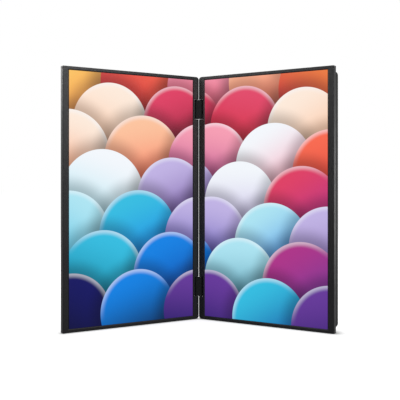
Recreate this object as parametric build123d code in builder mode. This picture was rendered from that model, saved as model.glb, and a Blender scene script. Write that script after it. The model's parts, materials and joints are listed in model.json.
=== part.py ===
"""Dual portable monitor: two upright screens on a friction hinge, standing open like a book.

Sizes are in mm. Z is up, the screens face -Y and the base rests on Z = 0.
A place inside a panel is given as across (outward from that panel's hinge axis),
up (above the base) and deep (behind the panel's middle plane).
"""
import os
from math import cos, radians, sin

from build123d import *

os.makedirs("parts", exist_ok=True)

# Sides of the hinge and ends of the spine
right = 1
left = -1
upper = 1
lower = -1
side_name = {right: "right", left: "left"}
end_name = {upper: "upper", lower: "lower"}

# Screens and panel casings
screen_width = 193.6
screen_height = 344.2
bezel_inner = 7.7
bezel_outer = 8.6
bezel_ends = 4.8
panel_thickness = 7.2
case_skin = 1.1
case_wall = 1.4
seam_below_front = 2.3
inner_corner = 7.0
outer_corner = 1.2
corner_fill = 3.0
edge_round = 0.8
window_lip = 0.3
window_slope = 50.0
fold_angle = {right: 33.1, left: 32.3}

# Hinge blocks, shafts and brackets
spine_gap = 0.4
block_height = 28.1
block_radius = 2.55
block_chamfer = 0.35
block_from_end = 47.3
block_end_gap = 0.65
front_notch_depth = 4.9
rear_notch_depth = 3.6
notch_wall = 1.1
shaft_radius = 1.5
shaft_in_block = 18.5
shaft_in_knuckle = 13.0
sleeve_wall = 0.42
sleeve_length = 19.5
sleeve_slit = 0.5
sleeve_inset = 0.3
knuckle_wall = 0.8
knuckle_length = 14.0
leaf_width = 5.0
leaf_thickness = 1.2
leaf_front = -0.3
leaf_past_knuckle = 13.0
boss_inset = 0.5

# Small screws
screw_radius = 0.7
screw_head_radius = 1.4
screw_head_height = 0.7
bracket_screw_across = 2.6
bracket_screw_spread = 6.0
bracket_screw_bite = 2.0
board_screw_bite = 3.0

# Display stack, from the glass back
glass_thickness = 1.2
film_thickness = 0.6
guide_thickness = 1.4
tray_sheet = 0.4
module_border = 1.5
module_driver_border = 5.5
led_strip_width = 0.7
led_size = 0.7
led_length = 3.0
led_count = 28
stack_gap = 0.1
support_rib_width = 1.2
support_rib_from_end = 39.9
support_rib_from_edge = 9.0

# Driver boards behind the displays
driver_thickness = 0.8
driver_chip_height = 0.4
driver_chip_size = 9.0
left_driver_across = (14.0, 44.0)
left_driver_height = 80.0
left_driver_below_cable = 18.0
right_driver_width = 40.0
right_driver_height = 66.0

# Electronics housing on the back of the right panel
hump_depth = 10.4
hump_width = 147.1
hump_from_edge = 0.6
hump_from_ends = 5.9
hump_corner = 6.0
hump_edge = 3.5
hump_wall = 1.6
recess_floor = 1.3

# Main board and the sockets along its top edge, placed from the housing's inner side
board_thickness = 1.0
board_from_side = 14.0
board_width = 64.0
board_drop = 81.5
board_below_wall = 1.7
key_strip_margin = 5.0
key_strip_drop = 8.0
board_boss_radius = 2.2
board_boss_inset = 4.5
board_boss_below_top = 18.0
chip_size = 14.0
chip_height = 1.5
coil_size = 7.0
coil_height = 2.4
socket_line = 7.2
socket_shell = 0.3
socket_inset = 0.2
socket_hole_gap = 0.15
reversible_width = 8.94
reversible_height = 3.26
reversible_depth = 7.3
reversible_tongue = 6.6
reversible_from_side = {"charge_socket": 50.0, "data_socket": 68.0}
video_width = 11.2
video_height = 3.2
video_depth = 7.5
video_taper = 1.0
video_tongue = 8.2
video_from_side = 29.0
tongue_thickness = 0.7
tongue_inset = 1.2

# Buttons in the housing's top wall, with a switch under each
button_width = 3.0
button_proud = 0.5
button_gap = 0.2
button_flange = 0.8
button_flange_lip = 0.8
button_travel = 0.5
button_play = 0.1
button_stem = 2.4
button_stem_length = 1.0
button_lengths = {"minus_button": 6.0, "plus_button": 6.0, "power_button": 11.0}
button_from_side = {"minus_button": 90.0, "plus_button": 101.0, "power_button": 122.0}
switch_length = 6.0
switch_height = 3.2
switch_body = 3.4
switch_plunger_radius = 1.0

# Speakers at both ends of the housing
speaker_width = 36.0
speaker_height = 36.0
speaker_from_edge = 7.1
speaker_from_end = 20.8
speaker_body = 4.6
speaker_corner = 3.0
speaker_cone_radius = 14.0
speaker_cone_depth = 0.8
speaker_magnet_radius = 8.0
speaker_magnet_depth = 1.4
speaker_hole_radius = 0.8
speaker_hole_pitch = 3.4
speaker_holes_across = 7
speaker_holes_up = 5

# Air slots over the main board
slot_length = 14.0
slot_width = 1.6
slot_pitch = 5.0
slot_count = 12
slot_from_side = 15.0
slot_from_top = 61.8

# Kickstand
kick_thickness = 3.0
kick_pivot_from_side = 36.0
kick_free_from_edge = 6.1
kick_from_speaker = 5.1
kick_corner = 8.0
kick_gap = 0.4
kick_floor_gap = 0.2
kick_pin_radius = 1.0
kick_pin_hold = 8.0
kick_pin_reach = 5.0
kick_boss = 3.0
foot_width = 1.6
foot_length = 40.0
foot_from_end = 25.0
scoop_length = 34.0
scoop_before_edge = 6.0
scoop_past_edge = 3.6
scoop_depth = 2.4
scoop_corner = 3.0
scoop_wall = 1.2

# Cables and ribbons
cable_radius = 0.5
cable_hole_gap = 0.3
cable_bend = 1.6
cable_turn_depth = 4.0
cable_in_panel = 2.0
cable_rise = 12.0
cable_lane_rise = 40.5
cable_step = 6.0
cable_depth = 1.8
cable_landing = 12.0
lead_radius = 0.6
lead_bend = 3.0
ribbon_thickness = 0.3
ribbon_width = 12.0
ribbon_from_board_end = 22.0
ribbon_landing = 8.0
ribbon_run = 31.0

# Fits
running_gap = 0.03
pin_running_gap = 0.05
press_gap = 0.02
shaft_hole_gap = 0.3
part_gap = 0.3

# Sizes that follow from those above
panel_height = screen_height + 2 * bezel_ends
panel_width = bezel_inner + screen_width + bezel_outer
panel_back = panel_thickness / 2
cavity_back = panel_back - case_skin
seam = seam_below_front - panel_back
axis_spacing = panel_thickness + spine_gap
notch_half = block_height / 2 + block_end_gap
notch_end = notch_half + notch_wall
sleeve_radius = shaft_radius + running_gap + sleeve_wall
block_bore_end = block_height / 2 - sleeve_length - 2 * sleeve_inset
knuckle_radius = shaft_radius + press_gap + knuckle_wall
knuckle_start = notch_end + part_gap
knuckle_end = knuckle_start + knuckle_length
leaf_back = leaf_front + leaf_thickness
leaf_end = knuckle_end + leaf_past_knuckle
bracket_screw_middle = knuckle_end + leaf_past_knuckle / 2
glass_back = glass_thickness - cavity_back
film_back = glass_back + film_thickness
guide_back = film_back + guide_thickness
tray_back = guide_back + tray_sheet
driver_back = tray_back + driver_thickness
screen_across = (bezel_inner, bezel_inner + screen_width)
screen_up = (bezel_ends, bezel_ends + screen_height)
module_across = (bezel_inner - module_border, screen_across[1] + module_driver_border)
module_up = (bezel_ends - module_border, screen_up[1] + module_border)
hump_back = panel_back + hump_depth
hump_across = (panel_width - hump_from_edge - hump_width, panel_width - hump_from_edge)
hump_up = (hump_from_ends, panel_height - hump_from_ends)
hump_cavity_back = hump_back - hump_wall
hump_top_inside = hump_up[1] - hump_wall
speaker_across = (hump_across[1] - speaker_from_edge - speaker_width, hump_across[1] - speaker_from_edge)
speaker_rise = (speaker_from_end, speaker_from_end + speaker_height)
kick_up = (speaker_rise[1] + kick_from_speaker, panel_height - speaker_rise[1] - kick_from_speaker)
kick_pivot_across = hump_across[0] + kick_pivot_from_side
kick_free_across = hump_across[1] - kick_free_from_edge
kick_pivot_deep = hump_back - kick_thickness / 2
recess_across = (kick_pivot_across - kick_thickness / 2 - kick_gap, kick_free_across + kick_gap)
recess_up = (kick_up[0] - kick_gap, kick_up[1] + kick_gap)
recess_deep = hump_back - kick_thickness - kick_floor_gap
shallow_back = recess_deep - recess_floor
board_back = socket_line - reversible_height / 2
board_front = board_back - board_thickness
board_across = (hump_across[0] + board_from_side, hump_across[0] + board_from_side + board_width)
board_up = (hump_top_inside - board_below_wall - board_drop, hump_top_inside - board_below_wall)
reversible_places = {name: hump_across[0] + place for name, place in reversible_from_side.items()}
video_place = hump_across[0] + video_from_side
button_places = {name: hump_across[0] + place for name, place in button_from_side.items()}
key_strip_end = max(button_places.values()) + switch_length / 2 + key_strip_margin
plunger_top = hump_top_inside - button_flange - button_stem_length - button_travel - button_play
cable_start = notch_end + cable_in_panel + pin_running_gap
cable_lane = block_from_end + cable_lane_rise
left_driver_up = (cable_lane - left_driver_below_cable,
                  cable_lane - left_driver_below_cable + left_driver_height)
ribbon_across = board_across[1] - ribbon_from_board_end
right_driver_across = (ribbon_across - right_driver_width / 2, ribbon_across + right_driver_width / 2)
right_driver_up = (board_up[0] - ribbon_run - right_driver_height, board_up[0] - ribbon_run)

# The middle of the hinge, set so that the part stands centred on the origin
right_reach = axis_spacing / 2 + (hump_across[1] - hump_edge) * cos(radians(fold_angle[right]))
right_reach += (hump_back - hump_edge) * sin(radians(fold_angle[right])) + hump_edge
left_reach = axis_spacing / 2 + (panel_width - edge_round) * cos(radians(fold_angle[left]))
left_reach += (panel_back - edge_round) * sin(radians(fold_angle[left])) + edge_round
front_reach = (panel_width - edge_round) * sin(radians(fold_angle[right]))
front_reach += (panel_back - edge_round) * cos(radians(fold_angle[right])) + edge_round
hinge_x = (left_reach - right_reach) / 2
hinge_y = (front_reach - panel_back) / 2


def span_length(span):
    """Length of a low-to-high pair."""
    return span[1] - span[0]


def span_middle(span):
    """Middle of a low-to-high pair."""
    return (span[0] + span[1]) / 2


def inset(span, amount):
    """The pair made shorter by an amount at both ends."""
    return (span[0] + amount, span[1] - amount)


def around(middle, size):
    """The pair of a given length about a middle."""
    return (middle - size / 2, middle + size / 2)


def hinge_height(end):
    """Height of a hinge block's middle."""
    return panel_height / 2 + end * (panel_height / 2 - block_from_end)


def from_hinge(end, near, far):
    """Heights between two distances from a block's middle, counted towards that end of the spine."""
    return tuple(sorted((hinge_height(end) + end * near, hinge_height(end) + end * far)))


def from_end(end, span):
    """Heights between two distances from the top or from the base."""
    return span if end == lower else (panel_height - span[1], panel_height - span[0])


def panel_point(side, across, deep, up):
    """A place inside a panel, in the part's own axes."""
    lean = radians(fold_angle[side])
    x = hinge_x + side * (axis_spacing / 2 + across * cos(lean) + deep * sin(lean))
    y = hinge_y - across * sin(lean) + deep * cos(lean)
    return Vector(x, y, up)


def panel_plane(side, deep=0.0):
    """Upright plane in a panel: x to the right, y up, normal towards the viewer."""
    lean = radians(fold_angle[side])
    facing = (-side * sin(lean), -cos(lean), 0)
    return Plane(panel_point(side, 0, deep, 0), x_dir=(cos(lean), -side * sin(lean), 0), z_dir=facing)


def level_plane(side, up=0.0):
    """Level plane at a panel's hinge axis: x to the right along the panel, y to its back."""
    lean = radians(fold_angle[side])
    return Plane(panel_point(side, 0, 0, up), x_dir=(cos(lean), -side * sin(lean), 0), z_dir=(0, 0, 1))


def edge_plane(side, across):
    """Upright plane square to a panel: x up, y to the panel's back, normal to the left."""
    lean = radians(fold_angle[side])
    leftward = (-cos(lean), side * sin(lean), 0)
    return Plane(panel_point(side, across, 0, 0), x_dir=(0, 0, 1), z_dir=leftward)


def upright_axis(side, across, deep):
    """Direction from a panel's hinge axis, for picking faces and edges."""
    return Axis((0, 0, 0), panel_point(side, across, deep, 0) - panel_point(side, 0, 0, 0))


def slab(side, across, up, deep, corner=0.0, mode=Mode.ADD):
    """A flat block in a panel, with rounded corners as seen from the front."""
    with BuildSketch(panel_plane(side, deep[1])) as outline:
        with Locations((side * span_middle(across), span_middle(up))):
            if corner > 0:
                RectangleRounded(span_length(across), span_length(up), corner)
            else:
                Rectangle(span_length(across), span_length(up))
    extrude(outline.sketch, amount=span_length(deep), mode=mode)


def upright_bar(side, across, deep, radius, up, mode=Mode.ADD):
    """A round bar parallel to the hinge axis."""
    with BuildSketch(level_plane(side, up[0])) as outline:
        with Locations((side * across, deep)):
            Circle(radius)
    extrude(outline.sketch, amount=span_length(up), mode=mode)


def level_bar(side, across, up, radius, deep, mode=Mode.ADD):
    """A round bar square to the screen."""
    with BuildSketch(panel_plane(side, deep[1])) as outline:
        with Locations((side * across, up)):
            Circle(radius)
    extrude(outline.sketch, amount=span_length(deep), mode=mode)


def level_block(side, across, deep, up, corner=0.0, mode=Mode.ADD):
    """A block in a panel, with rounded corners as seen from above."""
    with BuildSketch(level_plane(side, up[0])) as outline:
        with Locations((side * span_middle(across), span_middle(deep))):
            if corner > 0:
                RectangleRounded(span_length(across), span_length(deep), corner)
            else:
                Rectangle(span_length(across), span_length(deep))
    extrude(outline.sketch, amount=span_length(up), mode=mode)


def round_cable(places, radius, bend):
    """A round cable along a route of places."""
    with BuildLine() as route:
        FilletPolyline(*places, radius=bend)
    with BuildSketch(Plane(route.line @ 0, z_dir=route.line % 0)) as outline:
        Circle(radius)
    sweep(outline.sketch, path=route.line)


def keep(piece, name):
    """Names a finished piece and writes its file."""
    piece.part.label = name
    export_step(piece.part, f"parts/{name}.step")


def case_body(side, deep):
    """Panel casing between two depths, with its round hinge edge, soft outer edges and corners."""
    with BuildSketch(level_plane(side)) as profile:
        Circle(panel_back)
        with Locations((side * panel_width / 4, 0)):
            Rectangle(panel_width / 2, panel_thickness)
        with Locations((side * panel_width * 3 / 4, 0)):
            RectangleRounded(panel_width / 2, panel_thickness, edge_round)
        with Locations((side * panel_width / 2, 0)):
            Rectangle(panel_width / 2, panel_thickness)
    extrude(profile.sketch, amount=panel_height)
    panel_reach = panel_width + panel_back
    with BuildSketch(edge_plane(side, panel_width - panel_reach / 2)) as end_profile:
        with Locations((panel_height / 2, 0)):
            RectangleRounded(panel_height, panel_thickness, edge_round)
    extrude(end_profile.sketch, amount=panel_reach / 2, both=True, mode=Mode.INTERSECT)
    with BuildSketch(panel_plane(side, deep[1])) as outline:
        with Locations((side * (panel_width - panel_back) / 2, panel_height / 2)):
            RectangleRounded(panel_reach, panel_height, inner_corner)
        with Locations((side * panel_width * 3 / 4, panel_height / 2)):
            RectangleRounded(panel_width / 2, panel_height, outer_corner)
    extrude(outline.sketch, amount=span_length(deep), mode=Mode.INTERSECT)


def case_hollow(side, notch_depth):
    """Room inside a panel casing; the strip beside the hinge axis stops at the notches and corners."""
    room = (-cavity_back, cavity_back)
    strip = (0, notch_depth + notch_wall)
    slab(side, (strip[1], panel_width - case_wall), (case_wall, panel_height - case_wall), room,
         mode=Mode.SUBTRACT)
    lower_top = hinge_height(lower) + notch_end
    for heights in (
        (corner_fill, hinge_height(lower) - notch_end),
        (lower_top, hinge_height(upper) - notch_end),
        (hinge_height(upper) + notch_end, panel_height - corner_fill),
    ):
        slab(side, strip, heights, room, mode=Mode.SUBTRACT)
        nose = (max(heights[0], inner_corner), min(heights[1], panel_height - inner_corner))
        upright_bar(side, 0, 0, cavity_back, nose, mode=Mode.SUBTRACT)


def hinge_notches(side, notch_depth):
    """Notches for the hinge blocks, with holes for the shafts and the cable in their end walls."""
    for end in (upper, lower):
        slab(side, (-panel_thickness, notch_depth), from_hinge(end, -notch_half, notch_half),
             (-panel_thickness, panel_thickness), mode=Mode.SUBTRACT)
        upright_bar(side, 0, 0, shaft_radius + shaft_hole_gap, from_hinge(end, notch_half, notch_end),
                    mode=Mode.SUBTRACT)
    upright_bar(side, 0, 0, cable_radius + cable_hole_gap, from_hinge(lower, -notch_end, -notch_half),
                mode=Mode.SUBTRACT)


def bracket_screw_heights(end):
    """Heights of the two screws in a hinge bracket's leaf."""
    reach = hinge_height(end) + end * bracket_screw_middle
    return around(reach, bracket_screw_spread)


def bracket_bosses(side):
    """Pads in a rear cover that the hinge brackets are screwed to."""
    for end in (upper, lower):
        slab(side, (boss_inset, leaf_width - boss_inset),
             from_hinge(end, knuckle_end + boss_inset, leaf_end - boss_inset), (leaf_back, cavity_back))
        for height in bracket_screw_heights(end):
            level_bar(side, bracket_screw_across, height, screw_radius + press_gap,
                      (leaf_back, leaf_back + bracket_screw_bite), mode=Mode.SUBTRACT)


def support_ribs(side, across):
    """Ribs in a rear cover that carry the display from behind."""
    for height in (support_rib_from_end, panel_height / 2, panel_height - support_rib_from_end):
        slab(side, across, around(height, support_rib_width), (tray_back, cavity_back))


# Front bezels, with a sloped edge round the screen
for side in (right, left):
    with BuildPart() as front_bezel:
        case_body(side, (-panel_back, seam))
        case_hollow(side, front_notch_depth)
        slab(side, screen_across, screen_up, (-panel_back, -cavity_back), mode=Mode.SUBTRACT)
        with BuildSketch(panel_plane(side, -cavity_back - window_lip)) as window:
            with Locations((side * span_middle(screen_across), span_middle(screen_up))):
                Rectangle(span_length(screen_across), span_length(screen_up))
        extrude(window.sketch, amount=case_skin - window_lip, taper=-window_slope, mode=Mode.SUBTRACT)
        hinge_notches(side, front_notch_depth)
    keep(front_bezel, f"{side_name[side]}_front_bezel")

# Display glass, with the lit area in its middle
for side in (right, left):
    with BuildPart() as display_glass:
        slab(side, inset(module_across, stack_gap), inset(module_up, stack_gap), (-cavity_back, glass_back))
    keep(display_glass, f"{side_name[side]}_display_glass")

# Films and light guide behind the glass, open to the LEDs on the outer side
guide_across = (module_across[0] + tray_sheet + stack_gap,
                module_across[1] - tray_sheet - led_strip_width - led_size - stack_gap)
guide_up = inset(module_up, tray_sheet + stack_gap)
for side in (right, left):
    with BuildPart() as optical_films:
        slab(side, guide_across, guide_up, (glass_back, film_back))
    keep(optical_films, f"{side_name[side]}_optical_films")
    with BuildPart() as light_guide:
        slab(side, guide_across, guide_up, (film_back, guide_back))
    keep(light_guide, f"{side_name[side]}_light_guide")

# LED bars along the outer edge of the light guides
led_strip = (module_across[1] - tray_sheet - led_strip_width, module_across[1] - tray_sheet)
led_pitch = span_length(guide_up) / led_count
for side in (right, left):
    with BuildPart() as led_bar:
        slab(side, led_strip, guide_up, (film_back, guide_back))
        for number in range(led_count):
            height = guide_up[0] + (number + 1 / 2) * led_pitch
            slab(side, (led_strip[0] - led_size, led_strip[0]), around(height, led_length),
                 (film_back, guide_back))
    keep(led_bar, f"{side_name[side]}_led_bar")

# Folded steel trays that hold the displays together
for side in (right, left):
    with BuildPart() as backlight_tray:
        slab(side, module_across, module_up, (glass_back, tray_back))
        slab(side, inset(module_across, tray_sheet), inset(module_up, tray_sheet), (glass_back, guide_back),
             mode=Mode.SUBTRACT)
    keep(backlight_tray, f"{side_name[side]}_backlight_tray")

# Driver boards stuck to the trays
driver_places = {right: (right_driver_across, right_driver_up), left: (left_driver_across, left_driver_up)}
for side in (right, left):
    across, up = driver_places[side]
    with BuildPart() as driver_board:
        slab(side, across, up, (tray_back, driver_back))
        slab(side, around(span_middle(across), driver_chip_size), around(span_middle(up), driver_chip_size),
             (driver_back, driver_back + driver_chip_height))
    keep(driver_board, f"{side_name[side]}_driver_board")

# Rear cover of the left panel
with BuildPart() as left_rear_cover:
    case_body(left, (seam, panel_back))
    case_hollow(left, rear_notch_depth)
    bracket_bosses(left)
    support_ribs(left, (left_driver_across[1] + support_rib_from_edge, panel_width - support_rib_from_edge))
    hinge_notches(left, rear_notch_depth)
keep(left_rear_cover, "left_rear_cover")

# Rear housing of the right panel, with the electronics hump
board_bosses = [
    (across, up)
    for across in inset(board_across, board_boss_inset)
    for up in (board_up[0] + board_boss_inset, board_up[1] - board_boss_below_top)
]
scoop_across = (kick_free_across - scoop_before_edge, kick_free_across + scoop_past_edge)
scoop_up = around(panel_height / 2, scoop_length)
scoop_deep = recess_deep - scoop_depth
speaker_up = {end: from_end(end, speaker_rise) for end in (upper, lower)}
with BuildPart() as main_rear_housing:
    case_body(right, (seam, panel_back))
    slab(right, hump_across, hump_up, (cavity_back, hump_back), corner=hump_corner)
    rear_face = main_rear_housing.faces().sort_by(upright_axis(right, 0, 1))[-1]
    fillet(rear_face.edges(), hump_edge)
    case_hollow(right, rear_notch_depth)
    inside_across = inset(hump_across, hump_wall)
    inside_up = inset(hump_up, hump_wall)
    slab(right, inside_across, inside_up, (0, shallow_back), corner=hump_corner - hump_wall,
         mode=Mode.SUBTRACT)
    # Deeper room beside and beyond the kickstand
    slab(right, (inside_across[0], recess_across[0] - recess_floor), inside_up, (0, hump_cavity_back),
         corner=hump_corner - hump_wall, mode=Mode.SUBTRACT)
    for end_room in ((inside_up[0], recess_up[0] - recess_floor),
                     (recess_up[1] + recess_floor, inside_up[1])):
        slab(right, inside_across, end_room, (0, hump_cavity_back), corner=hump_corner - hump_wall,
             mode=Mode.SUBTRACT)
    # Kickstand recess, its pivot bosses and the finger scoop at its free edge
    for pin_up in ((recess_up[0] - kick_pin_reach - kick_boss, recess_up[0]),
                   (recess_up[1], recess_up[1] + kick_pin_reach + kick_boss)):
        slab(right, around(kick_pivot_across, 2 * kick_boss), pin_up, (shallow_back, hump_cavity_back))
    slab(right, inset(scoop_across, -scoop_wall), inset(scoop_up, -scoop_wall),
         (scoop_deep - scoop_wall, recess_deep))
    slab(right, (recess_across[0], span_middle(recess_across)), recess_up,
         (recess_deep, hump_back), mode=Mode.SUBTRACT)
    slab(right, (span_middle(recess_across) - kick_corner * 2, recess_across[1]), recess_up,
         (recess_deep, hump_back), corner=kick_corner + kick_gap, mode=Mode.SUBTRACT)
    slab(right, scoop_across, scoop_up, (scoop_deep, hump_back), corner=scoop_corner, mode=Mode.SUBTRACT)
    upright_bar(right, kick_pivot_across, kick_pivot_deep, kick_pin_radius + pin_running_gap,
                inset(kick_up, -kick_gap - kick_pin_reach), mode=Mode.SUBTRACT)
    # Bosses for the main board
    for across, up in board_bosses:
        boss_foot = hump_cavity_back if across < recess_across[0] else shallow_back
        boss_foot = hump_cavity_back if up > recess_up[1] else boss_foot
        level_bar(right, across, up, board_boss_radius, (board_back, boss_foot))
        level_bar(right, across, up, screw_radius + press_gap, (board_back, board_back + board_screw_bite),
                  mode=Mode.SUBTRACT)
    # Openings in the top wall
    top_wall = (hump_top_inside, hump_up[1])
    for place in reversible_places.values():
        level_block(right, around(place, reversible_width + 2 * socket_hole_gap),
                    around(socket_line, reversible_height + 2 * socket_hole_gap), top_wall,
                    corner=reversible_height / 2, mode=Mode.SUBTRACT)
    level_block(right, around(video_place, video_width + 2 * socket_hole_gap),
                (board_back - socket_hole_gap, board_back + video_height + socket_hole_gap), top_wall,
                mode=Mode.SUBTRACT)
    for name, place in button_places.items():
        level_block(right, around(place, button_lengths[name] + 2 * button_gap),
                    around(socket_line, button_width + 2 * button_gap), top_wall,
                    corner=button_width / 2, mode=Mode.SUBTRACT)
    # Sound holes and air slots in the back
    for end in (upper, lower):
        with BuildSketch(panel_plane(right, hump_back)) as sound_holes:
            with Locations((span_middle(speaker_across), span_middle(speaker_up[end]))):
                with GridLocations(speaker_hole_pitch, speaker_hole_pitch, speaker_holes_across,
                                   speaker_holes_up):
                    Circle(speaker_hole_radius)
        extrude(amount=hump_wall, mode=Mode.SUBTRACT)
    with BuildSketch(panel_plane(right, hump_back)) as air_slots:
        with Locations((hump_across[0] + slot_from_side, panel_height - slot_from_top)):
            with GridLocations(0, slot_pitch, 1, slot_count):
                SlotOverall(slot_length, slot_width)
    extrude(amount=hump_wall, mode=Mode.SUBTRACT)
    bracket_bosses(right)
    support_ribs(right, (leaf_width + support_rib_from_edge, hump_across[0] - hump_wall))
    hinge_notches(right, rear_notch_depth)
keep(main_rear_housing, "main_rear_housing")

# Hinge blocks between the panels, with blind bores for the shafts
block_turn = hinge_height(lower) + block_height / 2 - cable_turn_depth
cable_top = hinge_height(lower) + notch_end + cable_in_panel
link_route = [
    (hinge_x - axis_spacing / 2, hinge_y, cable_top),
    (hinge_x - axis_spacing / 2, hinge_y, block_turn),
    (hinge_x + axis_spacing / 2, hinge_y, block_turn),
    (hinge_x + axis_spacing / 2, hinge_y, cable_top),
]
for end in (upper, lower):
    with BuildPart() as hinge_block:
        with BuildSketch(Plane((hinge_x, hinge_y, hinge_height(end) - block_height / 2))):
            SlotCenterToCenter(axis_spacing, 2 * block_radius)
        extrude(amount=block_height)
        chamfer(hinge_block.edges().group_by(Axis.Z)[0], block_chamfer)
        chamfer(hinge_block.edges().group_by(Axis.Z)[-1], block_chamfer)
        for side in (right, left):
            upright_bar(side, 0, 0, sleeve_radius + press_gap,
                        from_hinge(end, block_bore_end, block_height / 2), mode=Mode.SUBTRACT)
        if end == lower:
            with BuildLine() as channel:
                FilletPolyline(*link_route, radius=cable_bend)
            with BuildSketch(Plane(channel.line @ 0, z_dir=channel.line % 0)):
                Circle(cable_radius + cable_hole_gap)
            sweep(path=channel.line, mode=Mode.SUBTRACT)
    keep(hinge_block, f"{end_name[end]}_hinge_block")

# Slit sleeves that grip the shafts
for end in (upper, lower):
    with BuildPart() as friction_sleeves:
        heights = from_hinge(end, block_bore_end + sleeve_inset, block_height / 2 - sleeve_inset)
        for side in (right, left):
            upright_bar(side, 0, 0, sleeve_radius, heights)
            upright_bar(side, 0, 0, shaft_radius + running_gap, heights, mode=Mode.SUBTRACT)
            level_block(side, around(0, sleeve_slit), (0, sleeve_radius), heights, mode=Mode.SUBTRACT)
    keep(friction_sleeves, f"{end_name[end]}_friction_sleeves")

# Shafts and brackets that tie the hinge blocks to the panels
for side in (right, left):
    for end in (upper, lower):
        with BuildPart() as hinge_shaft:
            upright_bar(side, 0, 0, shaft_radius,
                        from_hinge(end, block_height / 2 - shaft_in_block, knuckle_start + shaft_in_knuckle))
        keep(hinge_shaft, f"{end_name[end]}_{side_name[side]}_hinge_shaft")
        with BuildPart() as hinge_bracket:
            upright_bar(side, 0, 0, knuckle_radius, from_hinge(end, knuckle_start, knuckle_end))
            slab(side, (0, leaf_width), from_hinge(end, knuckle_start, leaf_end), (leaf_front, leaf_back))
            upright_bar(side, 0, 0, shaft_radius + press_gap,
                        from_hinge(end, knuckle_start, knuckle_start + shaft_in_knuckle), mode=Mode.SUBTRACT)
            for height in bracket_screw_heights(end):
                level_bar(side, bracket_screw_across, height, screw_radius + press_gap,
                          (leaf_front, leaf_back), mode=Mode.SUBTRACT)
        keep(hinge_bracket, f"{end_name[end]}_{side_name[side]}_hinge_bracket")
    with BuildPart() as bracket_screws:
        for end in (upper, lower):
            for height in bracket_screw_heights(end):
                level_bar(side, bracket_screw_across, height, screw_head_radius,
                          (leaf_front - screw_head_height, leaf_front))
                level_bar(side, bracket_screw_across, height, screw_radius,
                          (leaf_front, leaf_back + bracket_screw_bite))
    keep(bracket_screws, f"{side_name[side]}_bracket_screws")

# Cable loop through the lower hinge block; its legs lie on the two hinge axes and only twist
with BuildPart() as link_cable:
    round_cable(link_route, cable_radius, cable_bend)
keep(link_cable, "link_cable")

# Cables from the loop to the boards
cable_foot = hinge_height(lower) + cable_start
with BuildPart() as right_panel_cable:
    round_cable(
        [
            panel_point(right, 0, 0, cable_foot),
            panel_point(right, 0, 0, cable_foot + cable_rise),
            panel_point(right, cable_step, cable_depth, cable_lane),
            panel_point(right, hump_across[0] + cable_step, cable_depth, cable_lane),
            panel_point(right, board_across[0] + cable_landing, board_front - cable_radius,
                        cable_lane + cable_rise),
            panel_point(right, board_across[0] + cable_landing, board_front - cable_radius,
                        board_up[0] + ribbon_landing),
        ],
        cable_radius,
        cable_bend,
    )
keep(right_panel_cable, "right_panel_cable")
with BuildPart() as left_panel_cable:
    round_cable(
        [
            panel_point(left, 0, 0, cable_foot),
            panel_point(left, 0, 0, cable_foot + cable_rise),
            panel_point(left, cable_step, cable_depth, cable_lane),
            panel_point(left, left_driver_across[0], cable_depth, cable_lane),
        ],
        cable_radius,
        cable_bend,
    )
keep(left_panel_cable, "left_panel_cable")

# Main board, with a strip along the top that carries the key switches
with BuildPart() as main_board:
    slab(right, board_across, board_up, (board_front, board_back))
    slab(right, (board_across[1], key_strip_end),
         (board_up[1] - key_strip_drop, board_up[1]), (board_front, board_back))
    slab(right, around(span_middle(board_across), chip_size), around(span_middle(board_up), chip_size),
         (board_back, board_back + chip_height))
    slab(right, around(span_middle(board_across) + chip_size, coil_size),
         around(span_middle(board_up) + chip_size, coil_size), (board_back, board_back + coil_height))
    for across, up in board_bosses:
        level_bar(right, across, up, screw_radius + press_gap, (board_front, board_back), mode=Mode.SUBTRACT)
keep(main_board, "main_board")
with BuildPart() as board_screws:
    for across, up in board_bosses:
        level_bar(right, across, up, screw_head_radius, (board_front - screw_head_height, board_front))
        level_bar(right, across, up, screw_radius, (board_front, board_back + board_screw_bite))
keep(board_screws, "board_screws")

# Reversible sockets for power and picture
socket_top = hump_up[1] - socket_inset
for name, place in reversible_places.items():
    with BuildPart() as reversible_socket:
        heights = (socket_top - reversible_depth, socket_top)
        level_block(right, around(place, reversible_width), around(socket_line, reversible_height), heights,
                    corner=reversible_height / 2 - press_gap)
        level_block(right, around(place, reversible_width - 2 * socket_shell),
                    around(socket_line, reversible_height - 2 * socket_shell),
                    (heights[0] + tongue_inset, heights[1]),
                    corner=reversible_height / 2 - socket_shell - press_gap, mode=Mode.SUBTRACT)
        level_block(right, around(place, reversible_tongue), around(socket_line, tongue_thickness),
                    (heights[0], heights[1] - tongue_inset))
    keep(reversible_socket, name)

# Picture socket with two bevelled corners
with BuildPart() as video_socket:
    video_line = board_back + video_height / 2
    heights = (socket_top - video_depth, socket_top)
    for shrink, mode, low in ((0, Mode.ADD, heights[0]),
                              (socket_shell, Mode.SUBTRACT, heights[0] + tongue_inset)):
        half_wide = video_width / 2 - shrink
        half_tall = video_height / 2 - shrink
        with BuildSketch(level_plane(right, low)) as mouth:
            with Locations((video_place, video_line)):
                Polygon(
                    (-half_wide, -half_tall + video_taper),
                    (-half_wide + video_taper, -half_tall),
                    (half_wide - video_taper, -half_tall),
                    (half_wide, -half_tall + video_taper),
                    (half_wide, half_tall),
                    (-half_wide, half_tall),
                )
        extrude(amount=heights[1] - low, mode=mode)
    level_block(right, around(video_place, video_tongue), around(video_line, tongue_thickness),
                (heights[0], heights[1] - tongue_inset))
keep(video_socket, "video_socket")

# Key switches on the board, one under each button
with BuildPart() as key_switches:
    for place in button_places.values():
        body_top = plunger_top - switch_plunger_radius
        slab(right, around(place, switch_length), (body_top - switch_body, body_top),
             (board_back, board_back + switch_height))
        upright_bar(right, place, socket_line, switch_plunger_radius, (body_top, plunger_top))
keep(key_switches, "key_switches")

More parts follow.
